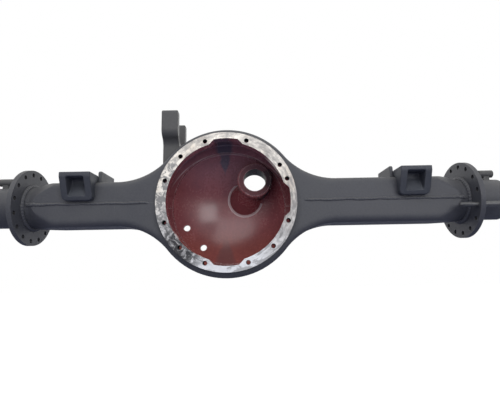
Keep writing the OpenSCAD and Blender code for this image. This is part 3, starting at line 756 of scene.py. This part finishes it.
def placeCoverBead(u, v):
    angle = fullTurn * u
    crown = crownOf(coverBead, 2 * v - 1, u, 1 / coverBead["ripples"])
    radius = coverBead["outer"] + (coverBead["inner"] - coverBead["outer"]) * v + coverBead["bulgeOut"] * crown
    y = housing["rear"] + coverBead["rise"] * v + coverBead["bulgeBack"] * crown - coverBead["sink"]
    return Vector((radius * math.cos(angle), y, radius * math.sin(angle)))


gridPiece("bead_cover_weld", coverBead["grid"], [placeCoverBead], paintMaterial, True,
          ("cover_weld_bead",))

bossFillet = {"x": 0.063, "z": 0.042, "tip": 0.130, "tipRadius": 0.0005, "slope": 0.6336, "sphere": 0.2646,
              "centre": -0.0276, "deepest": 0.245, "steps": 40, "leg": 0.0050, "leastLeg": 0.05, "fade": 0.012,
              "lift": 0.0002, "bossRadius": 0.0575, "turn": 229, "sweep": 214, "grid": (120, 8)}


def meetDome(angle):  # where the cone round the boss's foot meets the dome
    low, high = bossFillet["tip"], bossFillet["deepest"]
    for step in range(bossFillet["steps"]):
        y = (low + high) / 2
        reach = bossFillet["tipRadius"] + bossFillet["slope"] * (y - bossFillet["tip"])
        x, z = bossFillet["x"] + reach * math.cos(angle), bossFillet["z"] + reach * math.sin(angle)
        inside = math.hypot(x, y - bossFillet["centre"], z) < bossFillet["sphere"]
        low, high = (y, high) if inside else (low, y)
    return y, reach


def placeFillet(u, v):
    angle = math.radians(bossFillet["turn"] + bossFillet["sweep"] * (u - 0.5))
    y, reach = meetDome(angle)
    out = Vector((math.cos(angle), 0, math.sin(angle)))
    hub = Vector((bossFillet["x"], 0, bossFillet["z"]))
    foot = hub + out * reach + Vector((0, y, 0))
    clear = math.hypot(foot.x - boss["x"], foot.z - boss["z"]) - bossFillet["bossRadius"]
    leg = bossFillet["leg"] * min(1.0, max(bossFillet["leastLeg"], clear / bossFillet["fade"]))
    high = hub + out * (reach - bossFillet["slope"] * leg) + Vector((0, y - leg, 0))
    dome = Vector((0, bossFillet["centre"], 0))
    far = dome + (foot + out * leg - dome).normalized() * bossFillet["sphere"]
    lift = (dome - far).normalized() * bossFillet["lift"]
    return high * (1 - v) ** 2 + foot * 2 * v * (1 - v) + far * v * v + lift


gridPiece("boss_fillet", bossFillet["grid"], [placeFillet], filletHighlightMaterial)
print("welds laid")

stud = {"radius": 0.0063, "thread": 0.034, "pitch": 0.00175, "depth": 0.0009, "shoulder": 0.0086,
        "shoulderFrom": 0.7515, "tip": 0.0016, "endShare": 1e-5, "grid": (36, 560)}
studLow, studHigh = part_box("flange_stud")
studAxis = [(low + high) / 2 for low, high in zip(studLow, studHigh)]


def threadDip(distance, angle, pitch):
    turn = (distance / pitch - angle / fullTurn) % 1.0
    return 1 - abs(2 * turn - 1)


def placeStud(u, v):
    angle = fullTurn * u
    x = studLow[0] + (studHigh[0] - studLow[0]) * v
    fromTip, toEnd = x - studLow[0], studHigh[0] - x
    if x > stud["shoulderFrom"]:
        radius = stud["shoulder"] - max(0.0, stud["tip"] - toEnd)
    else:
        radius = stud["radius"] - max(0.0, stud["tip"] - fromTip)
        if fromTip < stud["thread"]:
            radius -= stud["depth"] * threadDip(x, angle, stud["pitch"])
    if min(v, 1 - v) < stud["endShare"]:  # both ends are closed
        radius = 0.0
    return Vector((x, studAxis[1] + radius * math.cos(angle), studAxis[2] + radius * math.sin(angle)))


gridPiece("threaded_stud", stud["grid"], [placeStud], bareMaterial, True, ("flange_stud",), 0.0)

ringThread = {"angles": (19, 71, 109, 161, 199, 251, 289, 341, 135, 225, 315, 33), "circle": 0.1936,
              "radius": 0.00706, "depth": 0.0010, "pitch": 0.0020, "from": 0.0012, "to": 0.0302, "grid": (24, 90)}


def makeThread(degrees):
    turn = math.radians(degrees)
    holeX, holeZ = ringThread["circle"] * math.cos(turn), ringThread["circle"] * math.sin(turn)

    def place(u, v):
        angle = fullTurn * u
        y = ringThread["from"] + (ringThread["to"] - ringThread["from"]) * v
        radius = ringThread["radius"] - ringThread["depth"] * threadDip(y, angle, ringThread["pitch"])
        return Vector((holeX + radius * math.cos(angle), y, holeZ + radius * math.sin(angle)))

    return place


nutThread = {"radius": 0.04005, "height": 0.0011, "pitch": 0.0020, "from": 0.2515, "to": 0.2905, "fade": 0.003,
             "grid": (72, 160)}


def makeNutThread(side):
    end = housing["endRight"] if side > 0 else housing["endLeft"]

    def place(u, v):
        angle = fullTurn * u
        out = nutThread["from"] + (nutThread["to"] - nutThread["from"]) * v
        fade = min(1.0, (out - nutThread["from"]) / nutThread["fade"], (nutThread["to"] - out) / nutThread["fade"])
        rise = nutThread["height"] * max(0.0, fade) * (1 - threadDip(out, angle, nutThread["pitch"]))
        radius = nutThread["radius"] + rise
        y = housing["axisY"] + side * radius * math.cos(angle)
        return Vector((end + side * out, y, radius * math.sin(angle)))

    return place


for side, end in ((-1, "left"), (1, "right")):
    gridPiece("nut_thread_" + end, nutThread["grid"], [makeNutThread(side)], groundMaterial, True)
gridPiece("ring_threads", ringThread["grid"], [makeThread(degrees) for degrees in ringThread["angles"]],
          oiledMaterial, True)
print("threads cut")


# camera, floor and light

shot = {"place": (0.0709, -1.1043, -0.1778), "pitch": 9.12, "roll": -1.066, "focalPixels": 376.86,
        "imageWidth": 500, "sensor": 36.0}


def placeCamera():
    data = bpy.data.cameras.new("shotCamera")
    data.sensor_width = shot["sensor"]
    data.lens = shot["focalPixels"] / shot["imageWidth"] * data.sensor_width
    camera = linkObject("shotCamera", data)
    pitch, roll = math.radians(shot["pitch"]), math.radians(shot["roll"])
    ahead = Vector((0, math.cos(pitch), math.sin(pitch)))
    up = Vector((0, -math.sin(pitch), math.cos(pitch)))
    right = Vector((1, 0, 0))
    turnedRight = right * math.cos(roll) + up * math.sin(roll)
    turnedUp = up * math.cos(roll) - right * math.sin(roll)
    rows = Matrix((turnedRight, turnedUp, -ahead)).transposed()
    camera.matrix_world = Matrix.Translation(Vector(shot["place"])) @ rows.to_4x4()
    bpy.context.scene.camera = camera


floor = {"height": -0.85, "size": 16.0, "bounce": (0.275, 0.295, 0.41), "pale": (0.92, 0.92, 0.92), "glow": 0.74}


def mixShaders(tree, fac, first, second):
    mix = addNode(tree, "ShaderNodeMixShader")
    for socket, value in zip(mix.inputs, (fac, first, second)):
        tree.links.new(value, socket)
    return mix.outputs[0]


def diffuse(tree, colour):
    node = addNode(tree, "ShaderNodeBsdfDiffuse")
    node.inputs["Color"].default_value = (*colour, 1)
    return node.outputs[0]


def makeFloor():
    bm = bmesh.new()
    bmesh.ops.create_grid(bm, x_segments=1, y_segments=1, size=floor["size"] / 2)
    bmesh.ops.translate(bm, verts=bm.verts, vec=(0, 0, floor["height"]))
    plane = linkObject("studioFloor", meshFrom("studioFloor", bm))
    material = bpy.data.materials.new("studioFloor")
    material.use_nodes = True
    tree = material.node_tree
    tree.nodes.clear()
    glow = addNode(tree, "ShaderNodeEmission")
    glow.inputs["Strength"].default_value = floor["glow"]
    seen = addNode(tree, "ShaderNodeAddShader")
    tree.links.new(diffuse(tree, floor["pale"]), seen.inputs[0])
    tree.links.new(glow.outputs[0], seen.inputs[1])
    fromCamera = addNode(tree, "ShaderNodeLightPath").outputs["Is Camera Ray"]
    above = mixShaders(tree, fromCamera, diffuse(tree, floor["bounce"]), seen.outputs[0])
    below = addNode(tree, "ShaderNodeBsdfTransparent").outputs[0]  # nothing is hidden from below
    backfacing = addNode(tree, "ShaderNodeNewGeometry").outputs["Backfacing"]
    out = addNode(tree, "ShaderNodeOutputMaterial")
    tree.links.new(mixShaders(tree, backfacing, above, below), out.inputs[0])
    plane.data.materials.append(material)


# each lamp has a name, a place, a power and a size
light = {"world": 0.5, "target": (0.05, 0.05, 0.0),
         "lamps": (("keyLamp", (-0.5, -2.4, 2.4), 56.0, 3.2), ("fillLamp", (1.45, -2.6, 0.6), 23.0, 1.3),
                   ("lowLamp", (-1.1, -2.6, -0.3), 6.0, 2.4), ("backLamp", (0.4, 3.0, 1.3), 16.0, 2.2))}


def makeWorld():
    world = bpy.data.worlds.new("studioWorld")
    bpy.context.scene.world = world
    world.use_nodes = True
    tree = world.node_tree
    tree.nodes.clear()
    soft = addNode(tree, "ShaderNodeBackground")
    setInputs(soft, Strength=light["world"])
    white = addNode(tree, "ShaderNodeBackground")
    for back in (soft, white):
        back.inputs["Color"].default_value = (1, 1, 1, 1)
    path = addNode(tree, "ShaderNodeLightPath")  # white where it is seen, soft where it only lights
    seen = calc(tree, "ADD", path.outputs["Is Camera Ray"], path.outputs["Is Glossy Ray"], clamp=True)
    seen = calc(tree, "ADD", seen, path.outputs["Is Transmission Ray"], clamp=True)
    out = addNode(tree, "ShaderNodeOutputWorld")
    tree.links.new(mixShaders(tree, seen, soft.outputs[0], white.outputs[0]), out.inputs[0])


def addLamp(name, place, power, size):
    data = bpy.data.lights.new(name, "AREA")
    data.energy, data.size = power, size
    lamp = linkObject(name, data)
    lamp.location = place
    lamp.rotation_euler = (Vector(light["target"]) - Vector(place)).to_track_quat("-Z", "Y").to_euler()


placeCamera()
makeFloor()
makeWorld()
for lamp in light["lamps"]:
    addLamp(*lamp)
bpy.context.scene.view_settings.view_transform = "Standard"
print("camera, floor and light set")
